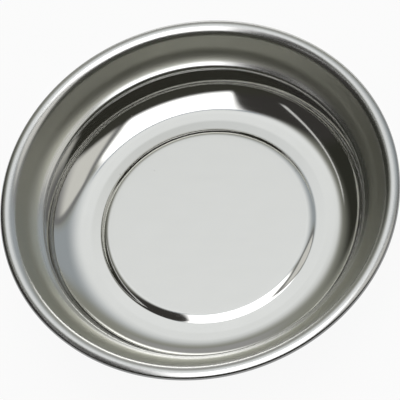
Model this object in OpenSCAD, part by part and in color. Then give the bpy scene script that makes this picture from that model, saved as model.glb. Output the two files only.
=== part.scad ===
// Round magnetic parts tray: a pressed stainless-steel dish on a rubber-booted ring magnet.
// A pole plate, a lock washer and a nut on a weld stud clamp the magnet under the dish's raised
// centre. The boot slips over the magnet from below and is the tray's foot.
// Millimetres, +Z up. The origin is the centre of the boot's underside.

/* [Dish] */
// Outside diameter over the rim
dish_d = 150; // [140:1:165]
// Inside depth, from the top of the rim to the floor
dish_depth = 25; // [22:0.5:30]
// Thickness of the pressed sheet
sheet_t = 0.5; // [0.4:0.05:0.8]
// Diameter at the waist, where the shoulder turns down into the well
waist_d = 120.4; // [112:0.2:124]
// Height of the waist above the floor
waist_h = 13.5; // [11:0.1:15]
// Slope of the well's wall, in degrees above level
well_slope = 79; // [74:1:82]
// Slope of the shoulder above the waist, in degrees above level
shoulder_slope = 24; // [14:1:30]
// Slope of the wall under the rim, in degrees above level
rim_slope = 62; // [54:1:68]
// Depth of the shallow valley that runs round the floor
valley_h = 0.2; // [0.05:0.05:0.4]
// Inside radius of the valley
valley_r = 10; // [5:0.5:15]
// Inside radius of the cove that rises from the floor
cove_r = 15.8; // [10:0.1:16]
// Slope that the cove rises to, in degrees above level
cove_slope = 42; // [38:1:48]
// Height of the crease above the floor, where the cove meets the well's wall
crease_h = 4.2; // [3.4:0.1:5]
// Inside radius of the crease
crease_r = 0.6; // [0.4:0.1:2]
// Radius of the bend at the waist
waist_bend_r = 2.5; // [1.5:0.1:3.5]
// Inside radius of the hollow between the shoulder and the wall under the rim
hollow_r = 11; // [6:0.5:13]

/* [Rim] */
// Radius of the rim's crown
crown_r = 4.2; // [2.4:0.1:5]
// Radius of the rim's outer curl
curl_r = 1.3; // [1.1:0.1:1.8]
// Slope at which the crown runs into the curl, in degrees below level
crown_fall = 25; // [10:1:40]
// How far the curl turns under, in degrees
curl_turn = 200; // [120:5:220]

/* [Raised centre] */
// Gap between the boot and the slope around the raised centre
centre_gap = 1.3; // [1:0.1:4]
// Height of the raised centre above the floor
centre_h = 0.9; // [0.6:0.1:2]
// Width of the slope around the raised centre
centre_run = 1.9; // [1:0.1:3]
// Radius of the rounded edge above that slope
centre_edge_r = 6.5; // [2:0.5:8]
// Inside radius at the foot of that slope
centre_foot_r = 2.5; // [0.8:0.1:4]

/* [Magnet] */
// Outside diameter of the ring magnet
magnet_d = 70; // [60:1:74]
// Diameter of its bore
magnet_bore_d = 32; // [28:1:36]
// Thickness of the magnet
magnet_t = 10; // [9:0.5:12]
// Chamfer along its edges
magnet_chamfer = 0.5; // [0.2:0.1:1]
// Thickness of the cushion ring between the magnet and the dish
cushion_t = 0.8; // [0.5:0.1:1.5]
// How far the cushion ring stays inside the magnet's edges
cushion_inset = 1; // [0.5:0.5:3]

/* [Pole plate] */
// Thickness of the pole plate
plate_t = 1; // [0.8:0.1:1.5]
// Slope of its cup's wall, in degrees above level
cup_slope = 78; // [70:1:84]
// Radius of its bends, on the magnet's side
plate_bend_r = 1.5; // [1:0.1:2]
// Gap between the cup and the magnet's bore
bore_gap = 0.2; // [0.1:0.1:0.5]

/* [Stud and nut] */
// Diameter of the thread
thread_d = 5; // [4:0.5:6]
// Gap around the stud in the nut
thread_gap = 0.05; // [0.02:0.01:0.1]
// Gap around the stud in the washer and the pole plate
hole_gap = 0.25; // [0.15:0.05:0.5]
// Diameter of the stud's welded flange
flange_d = 12; // [9:0.5:16]
// Thickness of that flange
flange_t = 1; // [0.8:0.1:1.5]
// Width of the nut across its flats
nut_af = 8; // [7:0.5:10]
// Height of the nut
nut_h = 4; // [3:0.1:5]
// Outside diameter of the lock washer
washer_d = 8.8; // [8:0.1:11]
// Thickness of the lock washer
washer_t = 1.2; // [0.8:0.1:1.6]
// Width of the lock washer's split
washer_split = 1; // [0.5:0.1:1.5]
// How far the stud passes through the nut
stud_tail = 0.8; // [0.4:0.1:1.5]
// Gap between the stud's end and the boot
stud_gap = 0.6; // [0.4:0.1:1.5]

/* [Boot] */
// Thickness of the boot's floor
boot_floor_t = 2; // [1.5:0.1:3]
// Thickness of the boot's wall
boot_wall_t = 2.5; // [1.8:0.1:3.5]
// Gap between the boot and the magnet it slips over
boot_gap = 0.1; // [0.05:0.05:0.2]
// Gap between the boot's upper edge and the dish
boot_top_gap = 0.4; // [0.3:0.1:1]
// Radius along the boot's lower edge
boot_edge_r = 1.6; // [0.6:0.1:1.8]
// Chamfer along the boot's upper edge
boot_chamfer = 0.6; // [0.2:0.1:1]
// Number of grip grooves under the boot
groove_count = 3; // [0:1:5]
// Width of a grip groove
groove_w = 1.2; // [0.8:0.1:2]
// Depth of a grip groove
groove_depth = 0.5; // [0.2:0.1:0.8]
// Distance from one grip groove to the next
groove_pitch = 3.2; // [2.4:0.1:5]

/* [Hidden] */

// Facets of a round solid, and the angle between two points of a bend
round_fn = 144;
bend_step = 6;
// Overrun of every cut
cut = 1;
// Shares of the width from the waist to the rim's outside: the most that the radii of the crown
// and the curl take, and the least that the shoulder takes
crown_share = 0.44;
curl_share = 0.27;
shoulder_share = 0.16;
// Shares of the slope around the raised centre that its edge and its foot take at most
centre_edge_share = 0.7;
centre_foot_share = 0.28;
// Share of the shoulder that the waist's bend takes at most
waist_bend_share = 0.8;
// Share of the straight below the crease that its bend takes at most
crease_share = 0.4;
// Shares of the floor's width: where the valley lies, from the raised centre's slope outwards, and
// the most of the floor on either side of it that its bend takes
valley_place_share = 0.31;
valley_bend_share = 0.3;

// Levels of the stack, from the boot's underside up
plate_z = boot_floor_t;
magnet_z = plate_z + plate_t;
cushion_z = magnet_z + magnet_t;
sheet_z = cushion_z + cushion_t;
floor_z = sheet_z + sheet_t - centre_h;

// Levels of the fastener, from the stud's end up
stud_end_z = boot_floor_t + stud_gap;
nut_z = stud_end_z + stud_tail;
washer_z = nut_z + nut_h;
cup_z = washer_z + washer_t;

// Radii that follow from the magnet and the boot
boot_in_r = magnet_d / 2 + boot_gap;
boot_r = boot_in_r + boot_wall_t;
centre_r = boot_r + centre_gap;

// Corners of the dish's upper face before bending: step, valley, cove, crease and waist
step_top = [centre_r, floor_z + centre_h];
step_foot = [centre_r + centre_run, floor_z];
waist = [waist_d / 2, floor_z + waist_h];
crease = [waist[0] - (waist_h - crease_h) / tan(well_slope), floor_z + crease_h];
cove_foot = [crease[0] - crease_h / tan(cove_slope), floor_z];
valley = step_foot + [valley_place_share * (cove_foot[0] - step_foot[0]), -valley_h];

// Rim, whose radii leave room for the wall between it and the waist
rim_room = dish_d / 2 - waist[0];
crown_fit_r = min(crown_r, crown_share * rim_room);
curl_fit_r = min(curl_r, curl_share * rim_room);
crown_hub = [
    dish_d / 2 - curl_fit_r * (1 - sin(crown_fall)) - crown_fit_r * sin(crown_fall),
    floor_z + dish_depth - crown_fit_r
];

// Wall under the rim, tangent to the crown, and steeper where the shoulder has too little room
shoulder_end = waist + shoulder_share * rim_room * along(shoulder_slope);
least_slope = heading(shoulder_end, crown_hub) + asin(crown_fit_r / norm(crown_hub - shoulder_end));
wall_slope = max(rim_slope, least_slope);
rim_start = crown_hub - crown_fit_r * right_of(wall_slope);
hollow = crossing(waist, shoulder_slope, rim_start, wall_slope);

// Bend radii that leave room for each other along the straight runs between them
step_l = norm(step_foot - step_top);
step_fall = heading(step_top, step_foot);
edge_fit_r = min(centre_edge_r, centre_edge_share * step_l / tan(step_fall / -2));
foot_spread = tan((heading(step_foot, valley) - step_fall) / 2);
foot_fit_r = min(centre_foot_r, centre_foot_share * step_l / foot_spread);
valley_turn = heading(valley, cove_foot) - heading(step_foot, valley);
valley_spread = tan(valley_turn / 2);
valley_room = min(norm(valley - step_foot), norm(cove_foot - valley));
valley_fit_r = min(valley_r, valley_bend_share * valley_room / valley_spread);
valley_reach = valley_fit_r * valley_spread;
waist_spread = tan((well_slope - shoulder_slope) / 2);
waist_fit_r = min(waist_bend_r, waist_bend_share * norm(hollow - waist) / waist_spread);
waist_reach = waist_fit_r * waist_spread;
crease_spread = tan((well_slope - cove_slope) / 2);
crease_fit_r = min(crease_r, crease_share * norm(crease - cove_foot) / crease_spread);
crease_reach = crease_fit_r * crease_spread;
cove_room = min(norm(crease - cove_foot) - crease_reach, norm(cove_foot - valley) - valley_reach);
cove_spread = tan((cove_slope - heading(valley, cove_foot)) / 2);
cove_fit_r = min(cove_r, cove_room / cove_spread);
hollow_room = min(norm(hollow - waist) - waist_reach, norm(rim_start - hollow));
hollow_fit_r = min(hollow_r, hollow_room / tan((wall_slope - shoulder_slope) / 2));

// Corners of the pole plate's upper face before bending
cup_rise = cup_z + plate_t - magnet_z;
cup_foot = [magnet_bore_d / 2 - bore_gap - plate_bend_r * tan(cup_slope / 2), magnet_z];
cup_rim = [cup_foot[0] - cup_rise / tan(cup_slope), magnet_z + cup_rise];

// Unit vector along a heading, and the one to its right
function along(heading) = [cos(heading), sin(heading)];
function right_of(heading) = [sin(heading), -cos(heading)];

// Heading from one point to another
function heading(a, b) = atan2(b[1] - a[1], b[0] - a[0]);

// Where a line through a at slope_a meets a line through b at slope_b
function crossing(a, slope_a, b, slope_b) =
    let (run = (b - a) * right_of(slope_b) / (along(slope_a) * right_of(slope_b)))
    a + run * along(slope_a);

// Stations, each a point and a heading, of an arc that starts at a point and turns left or right
function arc(start, from, turn, r) =
    let (
        side = sign(turn),
        hub = start - side * r * right_of(from),
        count = ceil(abs(turn) / bend_step)
    )
    [
        for (i = [0 : count])
            let (now = from + turn * i / count) [hub + side * r * right_of(now), now]
    ];

// Stations of a bend of radius r at corner b, on the way from a to c
function bend(a, b, c, r) =
    let (
        from = heading(a, b),
        turn = heading(b, c) - from,
        reach = r * tan(abs(turn) / 2)
    )
    arc(b - reach * along(from), from, turn, r);

// Outline of a sheet of thickness t whose upper face follows the stations
function sheet(stations, t) = concat(
    [for (s = stations) s[0]],
    [for (i = [len(stations) - 1 : -1 : 0]) stations[i][0] + t * right_of(stations[i][1])]
);

// Upper face of the dish from the axis to the end of the rim's curl
function dish_stations() =
    let (
        middle = [0, step_top[1]],
        crown = arc(rim_start, wall_slope, -wall_slope - crown_fall, crown_fit_r),
        curl = arc(crown[len(crown) - 1][0], -crown_fall, -curl_turn, curl_fit_r)
    )
    concat(
        [[middle, 0]],
        bend(middle, step_top, step_foot, edge_fit_r),
        bend(step_top, step_foot, valley, foot_fit_r),
        bend(step_foot, valley, cove_foot, valley_fit_r),
        bend(valley, cove_foot, crease, cove_fit_r),
        bend(cove_foot, crease, waist, crease_fit_r),
        bend(crease, waist, hollow, waist_fit_r),
        bend(waist, hollow, rim_start, hollow_fit_r),
        crown,
        [for (i = [1 : len(curl) - 1]) curl[i]]
    );

// Upper face of the pole plate from the stud's hole to its edge
function plate_stations() =
    let (
        hole = [thread_d / 2 + hole_gap, cup_rim[1]],
        edge = [magnet_d / 2, magnet_z]
    )
    concat(
        [[hole, 0]],
        bend(hole, cup_rim, cup_foot, plate_bend_r + plate_t),
        bend(cup_rim, cup_foot, edge, plate_bend_r),
        [[edge, 0]]
    );

// Ring of rectangular section with a chamfer along all its edges
module chamfered_ring(inner_r, outer_r, h, chamfer) {
    rotate_extrude($fn = round_fn)
        polygon([
            [inner_r + chamfer, 0], [outer_r - chamfer, 0],
            [outer_r, chamfer], [outer_r, h - chamfer],
            [outer_r - chamfer, h], [inner_r + chamfer, h],
            [inner_r, h - chamfer], [inner_r, chamfer]
        ]);
}

// Plain ring
module ring(inner_r, outer_r, h) {
    difference() {
        cylinder(r = outer_r, h = h, $fn = round_fn);
        translate([0, 0, -cut])
            cylinder(r = inner_r, h = h + 2 * cut, $fn = round_fn);
    }
}

// Pressed bowl with its raised centre and curled rim
module dish() {
    color([0.78, 0.79, 0.79])
        rotate_extrude($fn = round_fn)
            polygon(sheet(dish_stations(), sheet_t));
}

// Stud with its welded flange up against the dish, and a chamfered end
module weld_stud() {
    tip = thread_d / 2 - stud_tail / 2;
    color([0.72, 0.72, 0.7])
        rotate_extrude($fn = round_fn)
            polygon([
                [0, stud_end_z], [tip, stud_end_z],
                [thread_d / 2, stud_end_z + stud_tail / 2], [thread_d / 2, sheet_z - flange_t],
                [flange_d / 2, sheet_z - flange_t], [flange_d / 2, sheet_z], [0, sheet_z]
            ]);
}

// Foam-rubber ring that seats the magnet under the dish
module cushion_ring() {
    color([0.2, 0.2, 0.21])
        translate([0, 0, cushion_z])
            ring(magnet_bore_d / 2 + cushion_inset, magnet_d / 2 - cushion_inset, cushion_t);
}

// Ferrite ring
module ring_magnet() {
    color([0.24, 0.24, 0.25])
        translate([0, 0, magnet_z])
            chamfered_ring(magnet_bore_d / 2, magnet_d / 2, magnet_t, magnet_chamfer);
}

// Plate under the magnet, with a cup that reaches up into the magnet's bore
module pole_plate() {
    color([0.7, 0.7, 0.66])
        rotate_extrude($fn = round_fn)
            polygon(sheet(plate_stations(), plate_t));
}

// Split spring washer
module lock_washer() {
    color([0.66, 0.66, 0.64])
        translate([0, 0, washer_z])
            difference() {
                ring(thread_d / 2 + hole_gap, washer_d / 2, washer_t);
                translate([0, -washer_split / 2, -cut])
                    cube([washer_d / 2 + cut, washer_split, washer_t + 2 * cut]);
            }
}

// Hexagon nut, chamfered at both ends, with a plain bore for its thread
module hex_nut() {
    corner_r = nut_af / sqrt(3);
    flat_r = nut_af / 2;
    slope_h = (corner_r - flat_r) / sqrt(3);
    color([0.72, 0.72, 0.68])
        translate([0, 0, nut_z])
            difference() {
                intersection() {
                    cylinder(r = corner_r, h = nut_h, $fn = 6);
                    rotate_extrude($fn = round_fn)
                        polygon([
                            [0, 0], [flat_r, 0], [corner_r, slope_h],
                            [corner_r, nut_h - slope_h], [flat_r, nut_h], [0, nut_h]
                        ]);
                }
                translate([0, 0, -cut])
                    cylinder(r = thread_d / 2 + thread_gap, h = nut_h + 2 * cut, $fn = round_fn);
            }
}

// Rubber cup with a rounded lower edge and grip grooves in its underside
module rubber_boot() {
    top_z = sheet_z - boot_top_gap;
    edge_start = [boot_r - boot_edge_r, 0];
    edge = [for (s = arc(edge_start, 0, 90, boot_edge_r)) s[0]];
    groove_out_r = boot_r - boot_edge_r - groove_w;
    color([0.09, 0.09, 0.1])
        difference() {
            rotate_extrude($fn = round_fn)
                polygon(concat(
                    [[0, 0]], edge,
                    [
                        [boot_r, top_z - boot_chamfer], [boot_r - boot_chamfer, top_z],
                        [boot_in_r, top_z], [boot_in_r, boot_floor_t], [0, boot_floor_t]
                    ]
                ));
            for (i = [0 : 1 : groove_count - 1])
                translate([0, 0, -cut])
                    ring(
                        groove_out_r - groove_w - i * groove_pitch,
                        groove_out_r - i * groove_pitch,
                        groove_depth + cut
                    );
        }
}

dish();
weld_stud();
cushion_ring();
ring_magnet();
pole_plate();
lock_washer();
hex_nut();
rubber_boot();
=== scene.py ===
"""Looks of a round magnetic parts tray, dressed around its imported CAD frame.

A polished pressed-steel dish stands on a ring magnet in a slip-on rubber boot. Every piece is a
surface worked out with numpy in the frame's own metres, and rides on the body that carries it.
"""

import logging
import math
from abc import ABC, abstractmethod
from dataclasses import dataclass, field
from enum import Enum
from typing import Any, ClassVar, Mapping, Optional, Sequence, Tuple, Union

import bpy
import numpy as np
from mathutils import Matrix, Vector


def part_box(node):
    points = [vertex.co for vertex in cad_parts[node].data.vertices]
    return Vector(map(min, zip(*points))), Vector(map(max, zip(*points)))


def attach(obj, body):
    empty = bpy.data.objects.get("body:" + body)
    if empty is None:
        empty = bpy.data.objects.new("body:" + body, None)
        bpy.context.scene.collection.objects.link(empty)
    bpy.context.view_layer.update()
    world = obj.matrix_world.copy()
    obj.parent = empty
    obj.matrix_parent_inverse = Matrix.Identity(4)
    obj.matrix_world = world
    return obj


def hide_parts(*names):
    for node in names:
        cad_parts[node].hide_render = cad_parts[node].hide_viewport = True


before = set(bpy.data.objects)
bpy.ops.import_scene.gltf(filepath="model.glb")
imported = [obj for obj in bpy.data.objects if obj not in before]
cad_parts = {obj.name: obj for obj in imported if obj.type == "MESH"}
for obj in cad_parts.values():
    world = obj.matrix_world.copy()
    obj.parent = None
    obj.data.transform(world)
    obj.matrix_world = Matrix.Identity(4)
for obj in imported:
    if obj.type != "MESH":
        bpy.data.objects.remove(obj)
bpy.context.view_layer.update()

MM = 0.001
FULL_TURN = 2 * math.pi
WELD_GAP = 1e-7
NOISE_MEAN = 0.5
RGBA_PARTS = 4
LOG = logging.getLogger("tray")

Colour = Tuple[float, float, float]
Corner = Tuple[float, float, float]
Span = Tuple[float, float]


class Body(Enum):
    """Bodies of the frame that pieces ride on."""

    TRAY = "tray"
    BOOT = "boot"


class Slot(Enum):
    """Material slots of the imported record."""

    STAINLESS = "stainless"
    PLATED = "plated_steel"
    FERRITE = "ferrite"
    FOAM = "foam"
    RUBBER = "boot_rubber"


class Grain(Enum):
    """Way that the fine lines of a metal's surface run."""

    ROUND = "round the axis, from a polishing wheel"
    STRAIGHT = "straight, from the rolling of the sheet"


def along(heading: Union[float, np.ndarray]) -> np.ndarray:
    """Return the unit vector of a heading, in radians, in the r-z plane."""
    return np.stack([np.cos(heading), np.sin(heading)], -1)


def right_of(heading: Union[float, np.ndarray]) -> np.ndarray:
    """Return the unit vector a quarter turn to the right of a heading."""
    return np.stack([np.sin(heading), -np.cos(heading)], -1)


def heading_of(start: np.ndarray, stop: np.ndarray) -> float:
    """Return the heading, in radians, from one point of the r-z plane to another."""
    return math.atan2(stop[1] - start[1], stop[0] - start[0])


def crossing(a: np.ndarray, slope_a: float, b: np.ndarray, slope_b: float) -> np.ndarray:
    """Work out where two lines of the r-z plane meet.

    Args:
        a: Point of the first line.
        slope_a: Heading of the first line.
        b: Point of the second line.
        slope_b: Heading of the second line.

    Returns:
        The point a moved along its line until it has no distance left square to the other line.
    """
    square = right_of(slope_b)
    return a + along(slope_a) * ((b - a) @ square) / (along(slope_a) @ square)


@dataclass
class Track:
    """Path in the r-z plane, kept as stations: points, each with the path's heading there.

    Straight runs fill in by themselves between the arcs that are added, with their points closer
    together at the ends so that shading stays flat up to each bend.
    """

    step: float = math.radians(4)
    run_steps: int = 7
    edge_steps: int = 8
    points: list = field(default_factory=list)
    headings: list = field(default_factory=list)

    def add(self, points: np.ndarray, headings: np.ndarray) -> None:
        """Add stations, with a straight run from the last station to the first new one.

        Args:
            points: New points, one row each.
            headings: Heading at each of them.
        """
        if self.points:
            last = self.points[-1][-1]
            gap = points[0] - last
            if np.linalg.norm(gap) > WELD_GAP:
                share = (1 - np.cos(np.linspace(0, math.pi, self.run_steps + 1)[1:-1])) / 2
                self.points.append(last + share[:, None] * gap)
                self.headings.append(np.full(share.size, heading_of(last, points[0])))
        self.points.append(points)
        self.headings.append(headings)

    def arc(self, start: np.ndarray, heading: float, turn: float, radius: float) -> np.ndarray:
        """Add an arc, each point of which is the hub plus the radius square to the heading there.

        Args:
            start: First point.
            heading: Heading at the first point.
            turn: Angle that the arc turns, to the left if positive.
            radius: Radius of the arc.

        Returns:
            The arc's last point.
        """
        side = math.copysign(1, turn)
        hub = start - side * radius * right_of(heading)
        now = heading + turn * np.linspace(0, 1, 2 + int(abs(turn) / self.step))
        points = hub + side * radius * right_of(now)
        self.add(points, now)
        return points[-1]

    def bend(self, before: np.ndarray, corner: np.ndarray, after: np.ndarray, radius: float) -> None:
        """Add the round of a corner, an arc tangent to both of its sides.

        Args:
            before: Point that the path comes from.
            corner: Corner to round.
            after: Point that the path goes to.
            radius: Radius of the round; a sharp corner has none.
        """
        heading = heading_of(before, corner)
        turn = (heading_of(corner, after) - heading + math.pi) % FULL_TURN - math.pi
        if radius == 0 or turn == 0:
            self.add(corner[None], np.array([heading + turn / 2]))
            return
        reach = radius * math.tan(abs(turn) / 2)
        self.arc(corner - reach * along(heading), heading, turn, radius)

    def line(self) -> np.ndarray:
        """Return the path's points, one row each."""
        return np.concatenate(self.points)

    def sheet(self, thickness: float) -> np.ndarray:
        """Work out the section of a sheet whose upper face follows the path.

        The section runs out along the path, round a half circle at its edge, and back along the
        path moved to its right by the thickness.

        Args:
            thickness: Thickness of the sheet.

        Returns:
            The section's points, from the first upper one to the first lower one.
        """
        upper = self.line()
        headings = np.concatenate(self.headings)
        lower = upper + thickness * right_of(headings)
        middle = (upper[-1] + lower[-1]) / 2
        half_turn = np.linspace(math.pi / 2, -math.pi / 2, self.edge_steps + 1)[1:-1]
        edge = middle + thickness / 2 * along(headings[-1] + half_turn)
        return np.concatenate([upper, edge, lower[::-1]])


def rounded(corners: Sequence[Corner], closed: bool) -> np.ndarray:
    """Work out a polygon's outline with each corner rounded by an arc tangent to its sides.

    Args:
        corners: Radius, height and round of each corner, in order.
        closed: Whether the outline comes back to its first corner.

    Returns:
        The outline's points.
    """
    track = Track(step=math.radians(9), run_steps=5)
    points = np.array([corner[:2] for corner in corners])
    for number, (point, corner) in enumerate(zip(points, corners)):
        if not closed and number in (0, len(corners) - 1):
            track.add(point[None], np.zeros(1))
        else:
            track.bend(points[number - 1], point, points[(number + 1) % len(corners)], corner[2])
    return track.line()


@dataclass(frozen=True)
class Surface:
    """Closed surface on a grid of points, which may join up along its rows or its columns."""

    points: np.ndarray
    rows_close: bool
    columns_close: bool = True

    @classmethod
    def turned(
        cls, radius: np.ndarray, height: np.ndarray, angle: np.ndarray, rows_close: bool = False
    ) -> "Surface":
        """Turn stations about the Z axis: a point is (r cos a, r sin a, z).

        Args:
            radius: Radius of each station, or of each station at each angle.
            height: Height of each station, or of each station at each angle.
            angle: Angles of the columns, over one whole turn without its end.
            rows_close: Whether the stations come back to the first one.

        Returns:
            The turned surface.
        """
        radius = radius[:, None] if radius.ndim == 1 else radius
        height = height[:, None] if height.ndim == 1 else height
        grid = np.stack(
            np.broadcast_arrays(radius * np.cos(angle), radius * np.sin(angle), height), -1
        )
        return cls(grid, rows_close)

    def faces(self) -> Tuple[np.ndarray, np.ndarray, np.ndarray]:
        """Weld the grid's points and number its faces, turned outwards.

        Points that coincide become one, so seams and poles close, and a face with two corners in
        one place becomes a triangle. The faces' triple products sum to six times the volume that
        they hold, so a negative sum means that they look inwards, and their order is turned round.

        Returns:
            The welded points, the four-cornered faces and the three-cornered faces.
        """
        flat = self.points.reshape(-1, 3)
        _, first, weld = np.unique(
            np.round(flat / WELD_GAP).astype(np.int64), axis=0, return_index=True, return_inverse=True
        )
        index = weld.reshape(self.points.shape[:2])
        if self.rows_close:
            index = np.vstack([index, index[:1]])
        if self.columns_close:
            index = np.hstack([index, index[:, :1]])
        corners = [index[:-1, :-1], index[1:, :-1], index[1:, 1:], index[:-1, 1:]]
        quads = np.stack(corners, -1).reshape(-1, 4)
        same = quads == np.roll(quads, -1, axis=1)
        pinched = same.sum(1) == 1
        triangles = quads[pinched][~same[pinched]].reshape(-1, 3)
        quads = quads[same.sum(1) == 0]
        points = flat[first]
        fans = np.concatenate([quads[:, [0, 1, 2]], quads[:, [0, 2, 3]], triangles])
        a, b, c = (points[fans[:, side]] for side in range(3))
        if np.einsum("ij,ij->", a, np.cross(b, c)) < 0:
            quads, triangles = quads[:, ::-1], triangles[:, ::-1]
        return points, quads, triangles

    def mesh(self, name: str, sharp: float) -> bpy.types.Mesh:
        """Put the surface into a mesh with smooth shading.

        Args:
            name: Name of the mesh.
            sharp: Angle between faces, in radians, above which their edge stays sharp.

        Returns:
            The mesh.
        """
        points, quads, triangles = self.faces()
        mesh = bpy.data.meshes.new(name)
        mesh.from_pydata(points.tolist(), [], quads.tolist() + triangles.tolist())
        mesh.shade_smooth()
        mesh.set_sharp_from_angle(angle=sharp)
        return mesh


def turn_angles(count: int) -> np.ndarray:
    """Return evenly spaced angles over one turn, without its end."""
    return np.arange(count) * (FULL_TURN / count)


class Expr:
    """Socket of a node graph, on which arithmetic adds Math nodes."""

    def __init__(self, graph: "Graph", socket: bpy.types.NodeSocket) -> None:
        """Keep the socket and the graph that it is in."""
        self.graph = graph
        self.socket = socket

    def __add__(self, other: "Value") -> "Expr":
        """Return this value plus another."""
        return self.graph.math("ADD", self, other)

    def __radd__(self, other: "Value") -> "Expr":
        """Return another value plus this one."""
        return self.graph.math("ADD", other, self)

    def __sub__(self, other: "Value") -> "Expr":
        """Return this value less another."""
        return self.graph.math("SUBTRACT", self, other)

    def __mul__(self, other: "Value") -> "Expr":
        """Return this value times another."""
        return self.graph.math("MULTIPLY", self, other)

    def __rmul__(self, other: "Value") -> "Expr":
        """Return another value times this one."""
        return self.graph.math("MULTIPLY", other, self)

    def __truediv__(self, other: "Value") -> "Expr":
        """Return this value over another."""
        return self.graph.math("DIVIDE", self, other)

    def __rtruediv__(self, other: "Value") -> "Expr":
        """Return another value over this one."""
        return self.graph.math("DIVIDE", other, self)


Value = Union[float, Expr]


class Graph:
    """Node tree of a material or of the world, filled from expressions."""

    def __init__(self, tree: bpy.types.NodeTree) -> None:
        """Take over a node tree and empty it."""
        self.tree = tree
        tree.nodes.clear()

    def node(
        self,
        kind: str,
        settings: Optional[Mapping[str, Any]] = None,
        sockets: Optional[Mapping[str, Any]] = None,
    ) -> bpy.types.Node:
        """Make a node of any type.

        Args:
            kind: Blender's name of the node's type.
            settings: The node's own settings, which are set first.
            sockets: Values or links of its sockets, by name.

        Returns:
            The node.
        """
        made = self.tree.nodes.new(kind)
        for name, value in (settings or {}).items():
            setattr(made, name, value)
        for name, value in (sockets or {}).items():
            socket = next(s for s in made.inputs if s.enabled and s.name == name)
            if isinstance(value, Expr):
                self.tree.links.new(value.socket, socket)
            elif isinstance(value, tuple) and len(socket.default_value) == RGBA_PARTS:
                socket.default_value = (*value, 1)
            else:
                socket.default_value = value
        return made

    def read(self, node: bpy.types.Node, name: str) -> Expr:
        """Return an output of a node by its name."""
        return Expr(self, next(s for s in node.outputs if s.enabled and s.name == name))

    def math(self, operation: str, *values: Value) -> Expr:
        """Add a Math node.

        Args:
            operation: The node's operation.
            values: Its inputs, in order.

        Returns:
            Its result.
        """
        made = self.node("ShaderNodeMath", {"operation": operation})
        for socket, value in zip(made.inputs, values):
            if isinstance(value, Expr):
                self.tree.links.new(value.socket, socket)
            else:
                socket.default_value = value
        return self.read(made, "Value")

    def place(self) -> Tuple[Expr, Expr, Expr]:
        """Return the three Object coordinates."""
        return self.split(self.read(self.node("ShaderNodeTexCoord"), "Object"))

    def scaled(self, pitch: float) -> Tuple[Expr, Expr, Expr]:
        """Return the three Object coordinates as counts of a pitch."""
        x, y, z = self.place()
        return x / pitch, y / pitch, z / pitch

    def length(self, x: Expr, y: Expr) -> Expr:
        """Return the length of a flat vector."""
        return self.math("SQRT", x * x + y * y)

    def split(self, vector: Expr) -> Tuple[Expr, Expr, Expr]:
        """Return the three parts of a vector."""
        made = self.node("ShaderNodeSeparateXYZ", None, {"Vector": vector})
        return self.read(made, "X"), self.read(made, "Y"), self.read(made, "Z")

    def join(self, x: Value, y: Value, z: Value) -> Expr:
        """Return the vector of three values."""
        return self.read(self.node("ShaderNodeCombineXYZ", None, {"X": x, "Y": y, "Z": z}), "Vector")

    def noise(self, x: Value, y: Value, z: Value, detail: float = 2.0) -> Expr:
        """Add soft noise with features about one unit wide.

        Args:
            x: First coordinate, in features.
            y: Second coordinate, in features.
            z: Third coordinate, in features.
            detail: Number of finer layers.

        Returns:
            The noise, from 0 to 1 about a mean of a half.
        """
        sockets = {"Vector": self.join(x, y, z), "Scale": 1.0, "Detail": detail}
        return Expr(self, self.node("ShaderNodeTexNoise", None, sockets).outputs[0])

    def cells(self, x: Value, y: Value, z: Value) -> Expr:
        """Return the distance to the nearest of scattered points, about one unit apart."""
        sockets = {"Vector": self.join(x, y, z), "Scale": 1.0}
        return self.read(self.node("ShaderNodeTexVoronoi", None, sockets), "Distance")

    def ease(self, value: Value, low: float, high: float) -> Expr:
        """Return a smooth step from 0 at low to 1 at high, where low may be the larger one."""
        sockets = {"Value": value, "From Min": low, "From Max": high}
        made = self.node("ShaderNodeMapRange", {"interpolation_type": "SMOOTHSTEP"}, sockets)
        return self.read(made, "Result")

    def blend(self, share: Value, first: Any, second: Any) -> Expr:
        """Return a colour between two others, the first at 0 and the second at 1."""
        sockets = {"Factor": share, "A": first, "B": second}
        settings = {"data_type": "RGBA", "clamp_factor": True}
        return self.read(self.node("ShaderNodeMix", settings, sockets), "Result")

    def bump(self, height: Value, distance: float, normal: Optional[Expr] = None) -> Expr:
        """Add relief to a surface.

        Args:
            height: Height, in shares of the distance.
            distance: Height of 1, in metres.
            normal: Normal of relief under this one.

        Returns:
            The normal.
        """
        sockets = {"Height": height, "Distance": distance, "Strength": 1.0}
        if normal is not None:
            sockets["Normal"] = normal
        return self.read(self.node("ShaderNodeBump", None, sockets), "Normal")


class Finish(ABC):
    """Finish of a surface, which paints a material's nodes."""

    name: str

    @abstractmethod
    def paint(self, graph: Graph) -> Mapping[str, Any]:
        """Work out the surface's look.

        Args:
            graph: Graph to add nodes to.

        Returns:
            Values or links of the Principled shader's sockets, by name.
        """

    def material(self) -> bpy.types.Material:
        """Return a new material with this finish."""
        material = bpy.data.materials.new(self.name)
        material.use_nodes = True
        graph = Graph(material.node_tree)
        shader = graph.node("ShaderNodeBsdfPrincipled", None, self.paint(graph))
        graph.node("ShaderNodeOutputMaterial", None, {"Surface": graph.read(shader, "BSDF")})
        return material


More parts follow.
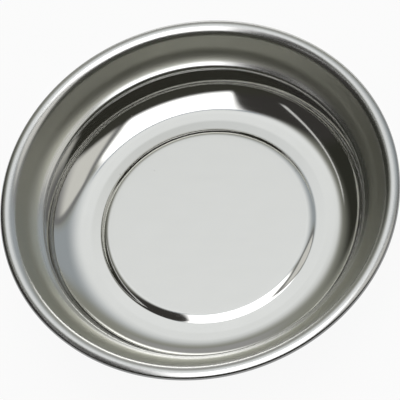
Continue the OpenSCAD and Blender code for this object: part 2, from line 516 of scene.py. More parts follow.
@dataclass(frozen=True)
class Stainless(Finish):
    """Bare stainless sheet with fine lines, a soft waviness from pressing and a few specks.

    It may darken towards an outer edge as painted shade, and be rougher over a band of radii, where its
    colour is also darkened as painted shade.
    """

    name: str
    grain: Grain
    roughness: float
    line_depth: float
    tint: Colour = (0.63, 0.628, 0.615)
    tint_shares: Span = (0.72, 1.02)
    tone: float = 0.93
    tone_from_lines: float = 0.14
    tone_from_smears: float = 0.1
    roughness_spread: float = 0.05
    anisotropy: float = 0.0
    anisotropy_turn: float = 0.25
    line_pitch: float = 0.8 * MM
    line_length: float = 14 * MM
    broad_lines: float = 6.0
    broad_relief: float = 0.6
    grain_turn: float = math.radians(-21)
    swirl_count: float = 4.0
    wave_pitch: float = 11 * MM
    wave_detail: float = 0.0
    wave_depth: float = 0.01 * MM
    smear_shift: float = 7.0
    smear_detail: float = 3.0
    speck_pitch: float = 9 * MM
    speck_share: float = 0.028
    speck_cover: float = 0.8
    speck_roughness: float = 0.25
    speck_colour: Colour = (0.12, 0.1, 0.08)
    # Painted shade: these darken the colour over the last stretch inside an outer edge, for a dark
    # reflection at the rim's curl
    edge_r: Optional[float] = None
    edge_shade_w: float = 1.4 * MM
    edge_shade_cover: float = 0.6
    edge_shade_colour: Colour = (0.08, 0.085, 0.085)
    # Painted shade: over this band the colour blends to a darker olive tint, beside a real rise in
    # roughness
    dull_shade_band: Optional[Span] = None
    dull_shade_fade: float = 0.8 * MM
    dull_roughness: float = 0.4
    painted_shade_tint: Colour = (0.55, 0.55, 0.49)

    def lines(self, graph: Graph, pitch: float) -> Expr:
        """Work out noise drawn out along the grain.

        Round lines take the point's direction from the axis as two coordinates, so that they
        close on themselves, and its radius plus its height as the third.

        Args:
            graph: Graph to add nodes to.
            pitch: Distance between lines.

        Returns:
            The noise.
        """
        x, y, z = graph.place()
        if self.grain is Grain.ROUND:
            radius = graph.length(x, y)
            turn = self.swirl_count / radius
            return graph.noise(x * turn, y * turn, (radius + z) / pitch)
        c, s = math.cos(self.grain_turn), math.sin(self.grain_turn)
        return graph.noise((x * c + y * s) / self.line_length, (y * c - x * s) / pitch, z / pitch)

    def paint(self, graph: Graph) -> Mapping[str, Any]:
        """Paint bare metal: lines and smears change its gloss, lines and waves its relief."""
        x, y, _ = graph.place()
        radius = graph.length(x, y)
        fine = self.lines(graph, self.line_pitch)
        broad = self.lines(graph, self.broad_lines * self.line_pitch)
        u, v, w = graph.scaled(self.wave_pitch)
        wave = graph.noise(u, v, w, self.wave_detail)
        smear = graph.noise(u + self.smear_shift, v, w, self.smear_detail)
        spots = graph.cells(*graph.scaled(self.speck_pitch))
        speck = graph.ease(spots, self.speck_share, self.speck_share / 2)
        gloss = self.roughness + self.roughness_spread * (fine + broad + smear - 3 * NOISE_MEAN)
        lined = self.tone_from_lines * (broad - NOISE_MEAN)
        smeared = self.tone_from_smears * (smear - NOISE_MEAN)
        dark, pale = (tuple(share * part for part in self.tint) for share in self.tint_shares)
        colour = graph.blend(self.tone + lined + smeared, dark, pale)
        # Painted shade: the colour darkens towards the outer edge, standing in for a dark reflection at the
        # rim's curl
        if self.edge_r is not None:
            edge = graph.ease(radius, self.edge_r - self.edge_shade_w, self.edge_r)
            colour = graph.blend(edge * self.edge_shade_cover, colour, self.edge_shade_colour)
        # Painted shade: over the band the colour blends to the darker olive tint, standing in for darker
        # reflections on the upper wall; the higher roughness there is the finish
        if self.dull_shade_band is not None:
            inner, outer = self.dull_shade_band
            dull_shade = graph.ease(radius, inner - self.dull_shade_fade, inner + self.dull_shade_fade)
            dull_shade = dull_shade * graph.ease(radius, outer + self.dull_shade_fade, outer - self.dull_shade_fade)
            colour = graph.blend(dull_shade, colour, self.painted_shade_tint)
            gloss = gloss + dull_shade * (self.dull_roughness - self.roughness)
        waves = graph.bump(wave, self.wave_depth)
        return {
            "Base Color": graph.blend(speck * self.speck_cover, colour, self.speck_colour),
            "Metallic": 1.0,
            "Roughness": gloss + self.speck_roughness * speck,
            "Anisotropic": self.anisotropy,
            "Anisotropic Rotation": self.anisotropy_turn,
            "Normal": graph.bump(fine + self.broad_relief * broad, self.line_depth, waves),
        }


@dataclass(frozen=True)
class Zinc(Finish):
    """Bright zinc plating: cloudy, slightly warm and cool by turns, with small dark pits."""

    name: str = "zinc_plating"
    cool: Colour = (0.52, 0.55, 0.58)
    warm: Colour = (0.60, 0.58, 0.50)
    roughness: float = 0.3
    cloud_pitch: float = 3 * MM
    cloud_detail: float = 4.0
    cloud_fade: Span = (0.35, 0.65)
    cloud_roughness: float = 0.2
    pit_pitch: float = 0.5 * MM
    pit_detail: float = 2.0
    pit_depth: float = 0.01 * MM
    pit_roughness: float = 0.1

    def paint(self, graph: Graph) -> Mapping[str, Any]:
        """Paint plated steel: clouds change its colour and gloss, pits its relief."""
        cloud = graph.noise(*graph.scaled(self.cloud_pitch), self.cloud_detail)
        pits = graph.noise(*graph.scaled(self.pit_pitch), self.pit_detail)
        clouded = self.cloud_roughness * (cloud - NOISE_MEAN)
        pitted = self.pit_roughness * (pits - NOISE_MEAN)
        return {
            "Base Color": graph.blend(graph.ease(cloud, *self.cloud_fade), self.cool, self.warm),
            "Metallic": 1.0,
            "Roughness": self.roughness + clouded + pitted,
            "Normal": graph.bump(pits, self.pit_depth),
        }


@dataclass(frozen=True)
class Ferrite(Finish):
    """Sintered ferrite: dark grey, grainy, dusty on its faces."""

    name: str = "sintered_ferrite"
    dark: Colour = (0.035, 0.036, 0.04)
    pale: Colour = (0.095, 0.095, 0.1)
    roughness: float = 0.5
    grain_pitch: float = 0.22 * MM
    grain_detail: float = 3.0
    grain_share: float = 0.4
    grain_depth: float = 0.02 * MM
    grain_roughness: float = 0.25
    patch_pitch: float = 7 * MM
    patch_detail: float = 4.0
    patch_share: float = 0.6
    patch_roughness: float = 0.15
    dust_fade: Span = (0.35, 0.68)

    def paint(self, graph: Graph) -> Mapping[str, Any]:
        """Paint sintered ceramic: grains and patches change its colour, grains its relief."""
        grains = graph.noise(*graph.scaled(self.grain_pitch), self.grain_detail)
        patches = graph.noise(*graph.scaled(self.patch_pitch), self.patch_detail)
        dust = graph.ease(self.patch_share * patches + self.grain_share * grains, *self.dust_fade)
        grainy = self.grain_roughness * (grains - NOISE_MEAN)
        patchy = self.patch_roughness * (patches - NOISE_MEAN)
        return {
            "Base Color": graph.blend(dust, self.dark, self.pale),
            "Roughness": self.roughness + grainy + patchy,
            "Normal": graph.bump(grains, self.grain_depth),
        }


@dataclass(frozen=True)
class Rubber(Finish):
    """Moulded or foamed rubber: near black, with a fine skin, dust and pores."""

    name: str
    dark: Colour = (0.012, 0.012, 0.013)
    dusty: Colour = (0.04, 0.039, 0.038)
    roughness: float = 0.6
    specular: float = 0.4
    skin_pitch: float = 0.3 * MM
    skin_detail: float = 2.0
    skin_depth: float = 0.02 * MM
    skin_share: float = 0.3
    skin_roughness: float = 0.2
    dust_pitch: float = 9 * MM
    dust_detail: float = 5.0
    dust_fade: Span = (0.42, 0.75)
    dust_roughness: float = 0.15
    pores: float = 0.0

    def paint(self, graph: Graph) -> Mapping[str, Any]:
        """Paint rubber: dust lies in patches, and the skin is finely pebbled or open-pored."""
        skin = graph.noise(*graph.scaled(self.skin_pitch), self.skin_detail)
        pore = graph.cells(*graph.scaled(self.skin_pitch))
        dust = graph.noise(*graph.scaled(self.dust_pitch), self.dust_detail)
        pebbles = skin - NOISE_MEAN
        dusted = self.dust_roughness * (dust - NOISE_MEAN)
        share = graph.ease(dust + self.skin_share * pebbles, *self.dust_fade)
        return {
            "Base Color": graph.blend(share, self.dark, self.dusty),
            "Roughness": self.roughness + self.skin_roughness * pebbles + dusted,
            "Specular IOR Level": self.specular,
            "Normal": graph.bump(skin + self.pores * pore, self.skin_depth),
        }


class Part(ABC):
    """Piece of the tray, whose mesh stands for a CAD node and rides on that node's body."""

    name: ClassVar[str]
    node: ClassVar[str]
    body: ClassVar[Body] = Body.TRAY
    slot: ClassVar[Slot]
    sharp: ClassVar[float] = math.radians(40)

    @abstractmethod
    def surface(self) -> Surface:
        """Return the piece's closed surface."""

    @abstractmethod
    def finishes(self) -> Sequence[Finish]:
        """Return the piece's finishes, the first of which covers all that no other one does."""

    def build(self) -> bpy.types.Object:
        """Return the piece's object, with its place in its mesh."""
        piece = bpy.data.objects.new(self.name, self.surface().mesh(self.name, self.sharp))
        bpy.context.scene.collection.objects.link(piece)
        return piece

    def dress(self, piece: bpy.types.Object) -> None:
        """Give the piece its materials and tie it to the frame.

        Args:
            piece: The piece's object.
        """
        for finish in self.finishes():
            piece.data.materials.append(finish.material())
        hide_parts(self.node)
        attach(piece, self.body.value)


@dataclass
class Dish(Part):
    """Pressed bowl: raised centre, floor, cove, well, waist, shoulder, hollow and curled rim.

    The polish ends polish_inset inside the waist, and the satin flat ends satin_inset inside the
    raised centre's edge. The wall is rougher, with its colour darkened as painted shade, over a band
    from a set distance outside the waist to a set distance inside the rim.
    """

    name: ClassVar[str] = "pressed_dish"
    node: ClassVar[str] = "dish"
    slot: ClassVar[Slot] = Slot.STAINLESS
    depth: float = 25 * MM
    sheet_t: float = 0.5 * MM
    centre_gap: float = 1.3 * MM
    centre_h: float = 0.9 * MM
    centre_run: float = 1.9 * MM
    centre_edge_r: float = 6.5 * MM
    centre_foot_r: float = 2.5 * MM
    valley_place: float = 0.31
    valley_h: float = 0.2 * MM
    valley_r: float = 10 * MM
    cove_r: float = 15.8 * MM
    cove_slope: float = math.radians(42)
    crease_h: float = 4.2 * MM
    crease_r: float = 0.6 * MM
    well_slope: float = math.radians(79)
    waist_r: float = 60.2 * MM
    waist_h: float = 13.5 * MM
    waist_bend_r: float = 2.5 * MM
    shoulder_slope: float = math.radians(24)
    hollow_r: float = 11 * MM
    wall_slope: float = math.radians(62)
    crown_r: float = 4.2 * MM
    crown_fall: float = math.radians(25)
    curl_r: float = 1.3 * MM
    curl_turn: float = math.radians(200)
    satin_inset: float = 1.4 * MM
    polish_inset: float = 0.2 * MM
    dull_shade_start: float = 2.4 * MM
    dull_shade_stop: float = 5.7 * MM
    columns: int = 256

    @property
    def centre_r(self) -> float:
        """Radius of the raised centre, a gap wider than the boot under it."""
        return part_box(Boot.node)[1].x + self.centre_gap

    def surface(self) -> Surface:
        """Turn the sheet's section: straight slopes joined by bends, then the crown and the curl."""
        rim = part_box(self.node)[1]
        floor = rim.z - self.depth
        middle = np.array([0, floor + self.centre_h])
        step_top = np.array([self.centre_r, floor + self.centre_h])
        step_foot = np.array([self.centre_r + self.centre_run, floor])
        waist = np.array([self.waist_r, floor + self.waist_h])
        well_run = (self.waist_h - self.crease_h) / math.tan(self.well_slope)
        crease = np.array([self.waist_r - well_run, floor + self.crease_h])
        cove_foot = np.array([crease[0] - self.crease_h / math.tan(self.cove_slope), floor])
        valley = step_foot + self.valley_place * (cove_foot - step_foot) - np.array([0, self.valley_h])
        fall = math.sin(self.crown_fall)
        hub = np.array([rim.x - self.curl_r * (1 - fall) - self.crown_r * fall, rim.z - self.crown_r])
        crown = hub - self.crown_r * right_of(self.wall_slope)
        hollow = crossing(waist, self.shoulder_slope, crown, self.wall_slope)
        track = Track()
        track.add(middle[None], np.zeros(1))
        track.bend(middle, step_top, step_foot, self.centre_edge_r)
        track.bend(step_top, step_foot, valley, self.centre_foot_r)
        track.bend(step_foot, valley, cove_foot, self.valley_r)
        track.bend(valley, cove_foot, crease, self.cove_r)
        track.bend(cove_foot, crease, waist, self.crease_r)
        track.bend(crease, waist, hollow, self.waist_bend_r)
        track.bend(waist, hollow, crown, self.hollow_r)
        end = track.arc(crown, self.wall_slope, -self.wall_slope - self.crown_fall, self.crown_r)
        track.arc(end, -self.crown_fall, -self.curl_turn, self.curl_r)
        section = track.sheet(self.sheet_t)
        return Surface.turned(section[:, 0], section[:, 1], turn_angles(self.columns))

    def finishes(self) -> Sequence[Finish]:
        """Return the brushed finish of the wall and rim, the polished well's and the centre's."""
        rim_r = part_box(self.node)[1].x
        brushed = Stainless(
            "brushed_stainless",
            Grain.ROUND,
            roughness=0.22,
            line_depth=0.0003 * MM,
            tint=(0.63, 0.63, 0.625),
            # Painted shade darkens the brushed finish at the rim's outer curl
            edge_r=rim_r,
            # Over this band the wall is rougher, and its colour darkened as painted shade
            dull_shade_band=(self.waist_r + self.dull_shade_start, rim_r - self.dull_shade_stop),
        )
        polished = Stainless(
            "polished_stainless",
            Grain.ROUND,
            roughness=0.07,
            line_depth=0.0004 * MM,
            roughness_spread=0.03,
            anisotropy=0.4,
        )
        satin = Stainless(
            "satin_stainless",
            Grain.STRAIGHT,
            roughness=0.15,
            line_depth=0.0005 * MM,
            line_pitch=0.6 * MM,
            wave_depth=0.03 * MM,
        )
        return brushed, polished, satin

    def dress(self, piece: bpy.types.Object) -> None:
        """Dress the dish, polished inside its waist and satin on the flat of its raised centre.

        Args:
            piece: The dish's object.
        """
        super().dress(piece)
        centres = np.empty(3 * len(piece.data.polygons))
        piece.data.polygons.foreach_get("center", centres)
        radius = np.hypot(centres[0::3], centres[1::3])
        well = (radius < self.waist_r - self.polish_inset).astype(np.int32)
        flat = (radius < self.centre_r - self.satin_inset).astype(np.int32)
        piece.data.polygons.foreach_set("material_index", well + flat)


@dataclass
class Boot(Part):
    """Slip-on rubber boot: a cup with a soft lip, a rounded foot and grip grooves."""

    name: ClassVar[str] = "slip_boot"
    node: ClassVar[str] = "rubber_boot"
    body: ClassVar[Body] = Body.BOOT
    slot: ClassVar[Slot] = Slot.RUBBER
    floor_t: float = 2 * MM
    wall_t: float = 2.5 * MM
    edge_r: float = 1.6 * MM
    lip_r: float = 0.9 * MM
    inner_r: float = 0.6 * MM
    groove_count: int = 3
    groove_w: float = 1.2 * MM
    groove_depth: float = 0.5 * MM
    groove_pitch: float = 3.2 * MM
    groove_round: float = 0.2 * MM
    columns: int = 192

    def surface(self) -> Surface:
        """Turn the cup's section, from the middle of its underside round to its inner floor."""
        _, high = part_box(self.node)
        inside = high.x - self.wall_t
        first = high.x - self.edge_r - self.groove_w
        corners = [(0, 0, 0)]
        for number in reversed(range(self.groove_count)):
            outer = first - number * self.groove_pitch
            inner = outer - self.groove_w
            corners += [
                (inner, 0, self.groove_round),
                (inner, self.groove_depth, self.groove_round),
                (outer, self.groove_depth, self.groove_round),
                (outer, 0, self.groove_round),
            ]
        corners += [
            (high.x, 0, self.edge_r),
            (high.x, high.z, self.lip_r),
            (inside, high.z, self.lip_r),
            (inside, self.floor_t, self.inner_r),
            (0, self.floor_t, 0),
        ]
        section = rounded(corners, closed=False)
        return Surface.turned(section[:, 0], section[:, 1], turn_angles(self.columns))

    def finishes(self) -> Sequence[Finish]:
        """Return the boot's finish."""
        return (Rubber("moulded_rubber"),)


@dataclass
class RingMagnet(Part):
    """Ferrite ring with chamfered edges, chipped here and there."""

    name: ClassVar[str] = "ferrite_ring"
    node: ClassVar[str] = "ring_magnet"
    slot: ClassVar[Slot] = Slot.FERRITE
    bore_r: float = 16 * MM
    chamfer: float = 0.5 * MM
    chip_count: int = 14
    chip_width: float = 1.3 * MM
    chip_width_shares: Span = (0.4, 1.3)
    chip_depth: float = 0.45 * MM
    chip_depth_shares: Span = (0.2, 1.0)
    seed: int = 4
    columns: int = 360

    def chips(self, radius: float, angle: np.ndarray, draws: np.random.Generator) -> np.ndarray:
        """Work out how deep an edge is chipped: the sum of bell curves at random angles.

        Args:
            radius: Radius of the edge.
            angle: Angles to give the depth at.
            draws: Source of the chips' places, widths and depths.

        Returns:
            The depth at each angle.
        """
        place = draws.uniform(0, FULL_TURN, (self.chip_count, 1))
        width = self.chip_width * draws.uniform(*self.chip_width_shares, place.shape) / radius
        depth = self.chip_depth * draws.uniform(*self.chip_depth_shares, place.shape)
        away = (angle - place + math.pi) % FULL_TURN - math.pi
        return np.minimum((depth * np.exp(-((away / width) ** 2))).sum(0), self.chip_depth)

    def surface(self) -> Surface:
        """Turn a chamfered section whose chamfers grow wider where an edge is chipped."""
        low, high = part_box(self.node)
        angle = turn_angles(self.columns)
        draws = np.random.default_rng(self.seed)
        bore = np.full(angle.shape, self.bore_r)
        rim = np.full(angle.shape, high.x)
        cuts = [
            self.chamfer + self.chips(radius, angle, draws)
            for radius in (self.bore_r, high.x, high.x, self.bore_r)
        ]
        bottom = np.full(angle.shape, low.z)
        top = np.full(angle.shape, high.z)
        stations = [
            (bore, bottom + cuts[0]),
            (bore + cuts[0], bottom),
            (rim - cuts[1], bottom),
            (rim, bottom + cuts[1]),
            (rim, top - cuts[2]),
            (rim - cuts[2], top),
            (bore + cuts[3], top),
            (bore, top - cuts[3]),
        ]
        radius = np.stack([station[0] for station in stations])
        height = np.stack([station[1] for station in stations])
        return Surface.turned(radius, height, angle, rows_close=True)

    def finishes(self) -> Sequence[Finish]:
        """Return the magnet's finish."""
        return (Ferrite(),)


@dataclass
class CushionRing(Part):
    """Die-cut foam-rubber ring, whose pressed edges bulge."""

    name: ClassVar[str] = "foam_ring"
    node: ClassVar[str] = "cushion_ring"
    slot: ClassVar[Slot] = Slot.FOAM
    bore_r: float = 17 * MM
    edge_share: float = 0.42
    columns: int = 160

    def surface(self) -> Surface:
        """Turn a flat section with its four edges rounded to nearly half circles."""
        low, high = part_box(self.node)
        edge = self.edge_share * (high.z - low.z)
        corners = [
            (self.bore_r, low.z, edge),
            (high.x, low.z, edge),
            (high.x, high.z, edge),
            (self.bore_r, high.z, edge),
        ]
        section = rounded(corners, closed=True)
        return Surface.turned(section[:, 0], section[:, 1], turn_angles(self.columns), rows_close=True)

    def finishes(self) -> Sequence[Finish]:
        """Return the foam's finish."""
        return (Rubber("foam_rubber", roughness=0.85, skin_pitch=0.35 * MM, pores=1.5),)

    def dress(self, piece: bpy.types.Object) -> None:
        super().dress(piece)


@dataclass
class PolePlate(Part):
    """Pressed plate under the magnet, with a cup that reaches up into the magnet's bore."""

    name: ClassVar[str] = "clamp_plate"
    node: ClassVar[str] = "pole_plate"
    slot: ClassVar[Slot] = Slot.PLATED
    plate_t: float = 1 * MM
    cup_slope: float = math.radians(78)
    bend_r: float = 1.5 * MM
    cup_gap: float = 0.2 * MM
    hole_r: float = 2.75 * MM
    columns: int = 192

    def surface(self) -> Surface:
        """Turn the plate's section: the path of its upper face, given the sheet's thickness."""
        low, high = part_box(self.node)
        seat = low.z + self.plate_t
        reach = self.bend_r * math.tan(self.cup_slope / 2)
        foot = np.array([RingMagnet().bore_r - self.cup_gap - reach, seat])
        rise = high.z - seat
        top = np.array([foot[0] - rise / math.tan(self.cup_slope), high.z])
        hole = np.array([self.hole_r, high.z])
        edge = np.array([high.x - self.plate_t / 2, seat])
        track = Track(step=math.radians(6))
        track.add(hole[None], np.zeros(1))
        track.bend(hole, top, foot, self.bend_r + self.plate_t)
        track.bend(top, foot, edge, self.bend_r)
        track.add(edge[None], np.zeros(1))
        section = track.sheet(self.plate_t)
        return Surface.turned(section[:, 0], section[:, 1], turn_angles(self.columns), rows_close=True)

    def finishes(self) -> Sequence[Finish]:
        """Return the plate's finish."""
        return (Zinc(),)


@dataclass(frozen=True)
class Thread:
    """Screw thread whose depth follows a flattened triangle wave along a helix."""

    radius: float = 2.5 * MM
    pitch: float = 0.8 * MM
    depth: float = 0.45 * MM
    gap: float = 0.06 * MM
    flat_share: float = 0.125

    def wall(self, angle: np.ndarray, height: np.ndarray) -> np.ndarray:
        """Work out the male thread's radius, which falls from its crest to its root and back.

        Args:
            angle: Angles about the axis.
            height: Heights along the axis.

        Returns:
            The radius at each height and angle.
        """
        turn = (height / self.pitch - angle / FULL_TURN) % 1
        wave = (1 + 2 * self.flat_share) * np.abs(2 * turn - 1) - self.flat_share
        return self.radius - self.depth * np.clip(wave, 0, 1)


@dataclass
class WeldStud(Part):
    """Threaded stud with a chamfered end, and a flange that is welded under the dish."""

    name: ClassVar[str] = "threaded_stud"
    node: ClassVar[str] = "weld_stud"
    slot: ClassVar[Slot] = Slot.PLATED
    thread: Thread = Thread()
    tip: float = 0.4 * MM
    flange_t: float = 1 * MM
    flange_edge_share: float = 0.2
    weld_r: float = 0.5 * MM
    weld_round_share: float = 0.8
    rows: int = 170
    columns: int = 48

    def surface(self) -> Surface:
        """Turn the stud: the thread inside the cone of its end, a fillet, the flange and its top."""
        low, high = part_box(self.node)
        angle = turn_angles(self.columns)
        seat = high.z - self.flange_t
        height = np.linspace(low.z, seat - self.weld_r, self.rows)[:, None]
        cone = self.thread.radius - self.tip + (height - low.z)
        shank = np.minimum(self.thread.wall(angle, height), cone)
        edge = self.flange_edge_share * self.flange_t
        corners = [
            (self.thread.radius, seat - self.weld_r, 0),
            (self.thread.radius, seat, self.weld_round_share * self.weld_r),
            (high.x, seat, edge),
            (high.x, high.z, edge),
            (0, high.z, 0),
        ]
        head = rounded(corners, closed=False)
        end = np.zeros((1, self.columns))
        radius = np.concatenate([end, shank, np.repeat(head[:, :1], self.columns, 1)])
        heights = np.concatenate([[low.z], height[:, 0], head[:, 1]])
        return Surface.turned(radius, heights, angle)

    def finishes(self) -> Sequence[Finish]:
        """Return the stud's finish."""
        return (Zinc(),)


@dataclass
class HexNut(Part):
    """Hexagon nut, chamfered at both ends, with its thread."""

    name: ClassVar[str] = "plated_nut"
    node: ClassVar[str] = "hex_nut"
    slot: ClassVar[Slot] = Slot.PLATED
    thread: Thread = Thread()
    sides: int = 6
    chamfer_rise: float = math.sqrt(3)
    bore_rows: int = 70
    side_rows: int = 24
    columns: int = 120

    def surface(self) -> Surface:
        """Turn a closed section: the thread's bore up, and the hexagon's side down.

        The side's radius is that of the flat, over the cosine of the angle from the flat's middle,
        and no more than that of the cone that chamfers each end.
        """
        low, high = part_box(self.node)
        flat = high.y
        angle = turn_angles(self.columns)
        span = FULL_TURN / self.sides
        hexagon = flat / np.cos(angle % span - span / 2)
        bore_z = np.linspace(low.z, high.z, self.bore_rows)[:, None]
        near_end = np.minimum(bore_z - low.z, high.z - bore_z)
        sink = self.thread.radius + self.thread.gap - near_end
        bore = np.maximum(self.thread.wall(angle, bore_z) + self.thread.gap, sink)
        side_z = np.linspace(high.z, low.z, self.side_rows)[:, None]
        near_end = np.minimum(side_z - low.z, high.z - side_z)
        side = np.minimum(hexagon, flat + near_end * self.chamfer_rise)
        height = np.concatenate([bore_z, side_z])[:, 0]
        return Surface.turned(np.concatenate([bore, side]), height, angle, rows_close=True)

    def finishes(self) -> Sequence[Finish]:
        """Return the nut's finish."""
        return (Zinc(),)


@dataclass
class LockWasher(Part):
    """Split spring washer with rounded edges."""

    name: ClassVar[str] = "split_washer"
    node: ClassVar[str] = "lock_washer"
    slot: ClassVar[Slot] = Slot.PLATED
    bore_r: float = 2.75 * MM
    split: float = 1 * MM
    edge_r: float = 0.15 * MM
    columns: int = 96

    def surface(self) -> Surface:
        """Carry a rounded section round the axis, from one flat of the split to the other.

        A point at radius r starts at the angle whose sine is half the split over r. The section
        closes to its middle at both ends.
        """
        low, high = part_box(self.node)
        corners = [
            (self.bore_r, low.z, self.edge_r),
            (high.y, low.z, self.edge_r),
            (high.y, high.z, self.edge_r),
            (self.bore_r, high.z, self.edge_r),
        ]
        section = rounded(corners, closed=True)
        middle = section.mean(0)
        share = np.concatenate([[0], np.linspace(0, 1, self.columns), [1]])
        inner = np.ones(share.shape)
        inner[[0, -1]] = 0
        radius = middle[0] + inner * (section[:, :1] - middle[0])
        height = middle[1] + inner * (section[:, 1:] - middle[1])
        start = np.arcsin(self.split / 2 / radius)
        angle = start + share * (FULL_TURN - 2 * start)
        grid = np.stack([radius * np.cos(angle), radius * np.sin(angle), height], -1)
        return Surface(grid, rows_close=True, columns_close=False)

    def finishes(self) -> Sequence[Finish]:
        """Return the washer's finish."""
        return (Zinc(roughness=0.38),)


@dataclass(frozen=True)
class Edge:
    """Straight edge of a panel on the studio's dome, in degrees from the zenith.

    The dome is laid flat about its zenith, with right to the right and front towards the camera.
    The panel lies on the near side of the line that is reach away along the bearing, where the
    bearing turns from right towards front, and the edge fades over soft to both sides.
    """

    bearing: float
    reach: float
    soft: float


@dataclass(frozen=True)
class Panel:
    """Lit or dark panel of the studio's dome, bounded by straight edges."""

    colour: Colour
    level: float
    edges: Tuple[Edge, ...]

    def mask(self, graph: Graph, right: Expr, front: Expr) -> Value:
        """Work out the panel's cover: the product of the smooth steps over its edges.

        Args:
            graph: Graph to add nodes to.
            right: Degrees from the zenith to the right.
            front: Degrees from the zenith to the front.

        Returns:
            The cover, 1 on the panel and 0 away from it.
        """
        cover: Value = 1.0
        for edge in self.edges:
            bearing = math.radians(edge.bearing)
            out = right * math.cos(bearing) + front * math.sin(bearing)
            cover = cover * graph.ease(out, edge.reach + edge.soft, edge.reach - edge.soft)
        return cover


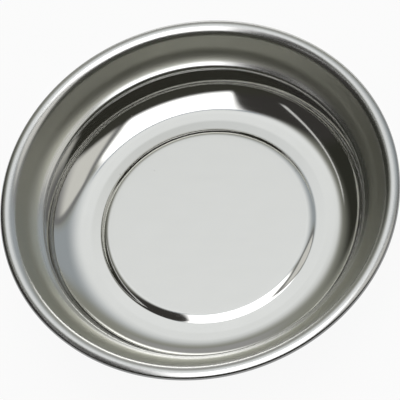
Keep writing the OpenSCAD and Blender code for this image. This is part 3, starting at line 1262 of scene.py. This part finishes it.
@dataclass
class Studio:
    """Plain pale floor, a dome of soft panels and the camera."""

    floor_half: float = 12.0
    floor_drop: float = 0.2 * MM
    floor_colour: Colour = (0.86, 0.86, 0.86)
    floor_glow: float = 0.92
    base: Colour = (0.335, 0.34, 0.295)
    camera_elevation: float = math.radians(60.95)
    camera_roll: float = math.radians(18.5)
    camera_distance: float = 1.304
    camera_aim: float = 33.5 * MM
    camera_lens: float = 316.0
    camera_reach: float = 100.0
    panels: Tuple[Panel, ...] = (
        # Cool panel above the right
        Panel((0.9, 0.98, 1.03), 0.47, (Edge(180, -3.5, 10), Edge(-90, 41.5, 8), Edge(90, -13.5, 4))),
        # Bright ceiling behind the zenith
        Panel(
            (0.98, 1, 1),
            1.14,
            (Edge(0, 22, 22), Edge(180, 15, 8), Edge(-90, 40, 16), Edge(90, -13.5, 4)),
        ),
        # Dark room on the left
        Panel((1, 1.02, 0.8), 0.035, (Edge(0, -26, 16), Edge(-90, 64, 8))),
        # Grey wall low behind the tray
        Panel((1, 1, 0.98), 0.42, (Edge(90, -55, 5), Edge(0, 29, 6.5), Edge(180, 6.5, 8))),
        # Dark corner in front on the left
        Panel((1, 0.95, 0.88), 0.05, (Edge(26, -11.5, 2.5), Edge(-90, 16.5, 5))),
        # Dark room in front
        Panel((1, 1, 0.8), 0.05, (Edge(-90, -22.5, 6.5),)),
        # White backdrop at the horizon behind the tray
        Panel((1, 1, 0.96), 2.2, (Edge(110, -74, 4),)),
        # Narrow light strip on the left
        Panel(
            (1, 1, 0.98),
            0.8,
            (Edge(22.9, -36, 0.5), Edge(202.9, 39, 0.5), Edge(112.9, 27.5, 2.5), Edge(-67.1, 21.5, 2.5)),
        ),
        # Grey surround of the window on the right
        Panel((1, 1, 1), 0.25, (Edge(180, -19, 1.5), Edge(-90, 12, 1), Edge(90, 25.5, 5))),
        # Window on the right
        Panel(
            (1, 0.99, 0.93),
            0.85,
            (Edge(180, -23.5, 2.5), Edge(0, 60, 13), Edge(-90, 8, 1.5), Edge(90, 25.5, 5)),
        ),
        # Blue frame behind the softbox
        Panel(
            (0.6, 0.8, 1),
            0.35,
            (Edge(-90, 17.5, 1), Edge(90, -15.5, 0.5), Edge(180, 9, 2), Edge(0, 10.5, 4)),
        ),
        # Softbox at the zenith
        Panel(
            (1, 1, 1),
            2.6,
            (Edge(206, 13, 1.5), Edge(0, 17, 3), Edge(-41, 16.5, 2.5), Edge(-90, 15.5, 1), Edge(90, 27, 6)),
        ),
    )

    def floor(self) -> None:
        """Lay the floor: a flat square that shows white, and keeps a share of its shadows."""
        side = np.array([-self.floor_half, self.floor_half])
        corners = np.stack(np.meshgrid(side, side), -1).reshape(-1, 2)
        points = np.column_stack([corners, np.full(len(corners), -self.floor_drop)])
        mesh = bpy.data.meshes.new("floor")
        mesh.from_pydata(points.tolist(), [], [(0, 1, 3, 2)])
        piece = bpy.data.objects.new("floor", mesh)
        bpy.context.scene.collection.objects.link(piece)
        material = bpy.data.materials.new("pale_floor")
        material.use_nodes = True
        graph = Graph(material.node_tree)
        path = graph.node("ShaderNodeLightPath")
        seen = graph.read(path, "Is Camera Ray") + graph.read(path, "Is Glossy Ray")
        seen = graph.math("MINIMUM", seen + graph.read(path, "Is Transmission Ray"), 1.0)
        matt = graph.node("ShaderNodeBsdfDiffuse", None, {"Color": self.floor_colour})
        glow = graph.node("ShaderNodeEmission", None, {"Color": (1, 1, 1), "Strength": 1.0})
        mix = graph.node("ShaderNodeMixShader", None, {"Fac": seen * self.floor_glow})
        graph.tree.links.new(matt.outputs[0], mix.inputs[1])
        graph.tree.links.new(glow.outputs[0], mix.inputs[2])
        graph.node("ShaderNodeOutputMaterial", None, {"Surface": graph.read(mix, "Shader")})
        mesh.materials.append(material)

    def light(self) -> None:
        """Paint the dome: a plain grey, with each panel laid over those before it."""
        world = bpy.data.worlds.new("studio")
        world.use_nodes = True
        bpy.context.scene.world = world
        graph = Graph(world.node_tree)
        coordinates = graph.node("ShaderNodeTexCoord")
        x, y, z = graph.split(graph.read(coordinates, "Generated"))
        spread = graph.math("ARCCOSINE", z) * math.degrees(1) / graph.length(x, y)
        right, front = x * spread, y * spread * -1
        colour: Any = self.base
        for panel in self.panels:
            lit = tuple(panel.level * part for part in panel.colour)
            colour = graph.blend(panel.mask(graph, right, front), colour, lit)
        sky = graph.node("ShaderNodeBackground", None, {"Color": colour, "Strength": 1.0})
        graph.node("ShaderNodeOutputWorld", None, {"Surface": graph.read(sky, "Background")})

    def camera(self) -> None:
        """Stand the camera in front of the tray, above it and rolled, as in the photograph."""
        lens = bpy.data.cameras.new("camera")
        lens.lens = self.camera_lens
        lens.clip_end = self.camera_reach
        back = Vector((0, -math.cos(self.camera_elevation), math.sin(self.camera_elevation)))
        right = Vector((1, 0, 0))
        up = back.cross(right)
        c, s = math.cos(self.camera_roll), math.sin(self.camera_roll)
        turned = Matrix((c * right - s * up, s * right + c * up, back)).transposed().to_4x4()
        place = Vector((0, 0, self.camera_aim)) + self.camera_distance * back
        camera = bpy.data.objects.new("camera", lens)
        camera.matrix_world = Matrix.Translation(place) @ turned
        bpy.context.scene.collection.objects.link(camera)
        bpy.context.scene.camera = camera

    def build(self) -> None:
        """Set the stage and the plain view of its colours."""
        self.camera()
        self.floor()
        self.light()
        bpy.context.scene.view_settings.view_transform = "Standard"


def main() -> None:
    """Build the studio and each piece in order, and note the model's size."""
    logging.basicConfig(level=logging.INFO, format="%(name)s: %(message)s")
    Studio().build()
    parts: Sequence[Part] = (
        Dish(), WeldStud(), CushionRing(), RingMagnet(), PolePlate(), LockWasher(), HexNut(), Boot()
    )
    for part in parts:
        piece = part.build()
        part.dress(piece)
        LOG.info("%s: %d faces, rides on %s", piece.name, len(piece.data.polygons), part.body.value)


if __name__ == "__main__":
    main()
